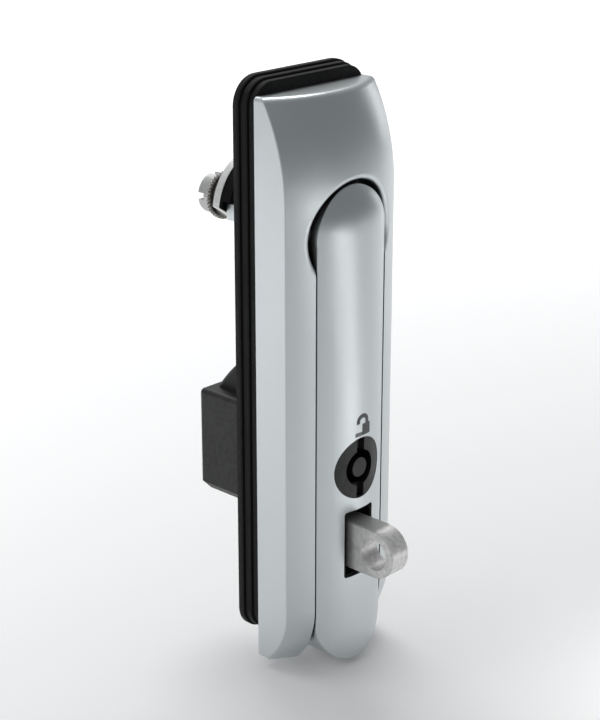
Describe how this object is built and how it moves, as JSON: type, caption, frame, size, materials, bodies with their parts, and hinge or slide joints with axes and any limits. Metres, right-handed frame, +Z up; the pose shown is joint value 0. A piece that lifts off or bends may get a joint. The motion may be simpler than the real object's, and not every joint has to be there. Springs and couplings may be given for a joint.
{
  "type": "swing handle lock",
  "caption": "Swing handle lock for a cabinet door: slim metal dish, folding lever with a double-bit insert, padlock eye, black gasket and a rear drive with stop sector.",
  "frame": {"origin": "where the axis of the spindle crosses the outer face of the door, which is the rear face of the gasket", "axes": "+Z up along the lock, +Y from the room through the door, -Y is the front with the lever, +X to the right seen from the front"},
  "size_m": [0.0458, 0.0738, 0.1715],
  "materials": {
    "plated_zinc": "satin silver",
    "rubber_black": "matt",
    "plastic_black": "matt",
    "steel_brushed": "brushed",
    "steel_zinc": "zinc plated",
    "insert_black": "satin black",
    "disc_pale": "satin pale grey",
    "brass": "satin"
  },
  "bodies": {
    "mounting": {"dish": "plated_zinc", "gasket": "rubber_black", "carrier": "plated_zinc", "pivot_pin": "steel_brushed", "neck_bush": "brass", "hasp": "steel_brushed", "hasp_screws": "steel_zinc", "rear_box": "plastic_black", "rear_box_screws": "steel_zinc", "rest_buffer": "rubber_black"},
    "handle": {"lever": "plated_zinc", "slot_liner": "plastic_black", "lock_housing": "steel_zinc", "lock_clip": "steel_zinc"},
    "lock_core": {"lock_plug": "insert_black", "plug_seal": "rubber_black", "lock_cam": "steel_zinc", "cam_washer": "steel_zinc", "cam_screw": "steel_zinc"},
    "drive": {"spindle": "steel_zinc", "neck_seal": "rubber_black", "thrust_washer": "steel_zinc", "stop_sector": "insert_black", "stop_disc": "disc_pale", "serrated_ring": "steel_zinc", "slotted_nut": "disc_pale"}
  },
  "joints": [
    {"name": "handle_lift", "type": "hinge", "parent": "mounting", "child": "handle", "pos_m": [0, -0.017, 0], "axis": [-1, 0, 0], "range_deg": [0, 45]},
    {"name": "lock_turn", "type": "hinge", "parent": "handle", "child": "lock_core", "pos_m": [0, -0.0258, -0.0697], "axis": [0, 1, 0], "range_deg": [0, 90]},
    {"name": "spindle_turn", "type": "hinge", "parent": "mounting", "child": "drive", "pos_m": [0, 0, 0], "axis": [0, 1, 0], "range_deg": [0, 90]}
  ]
}
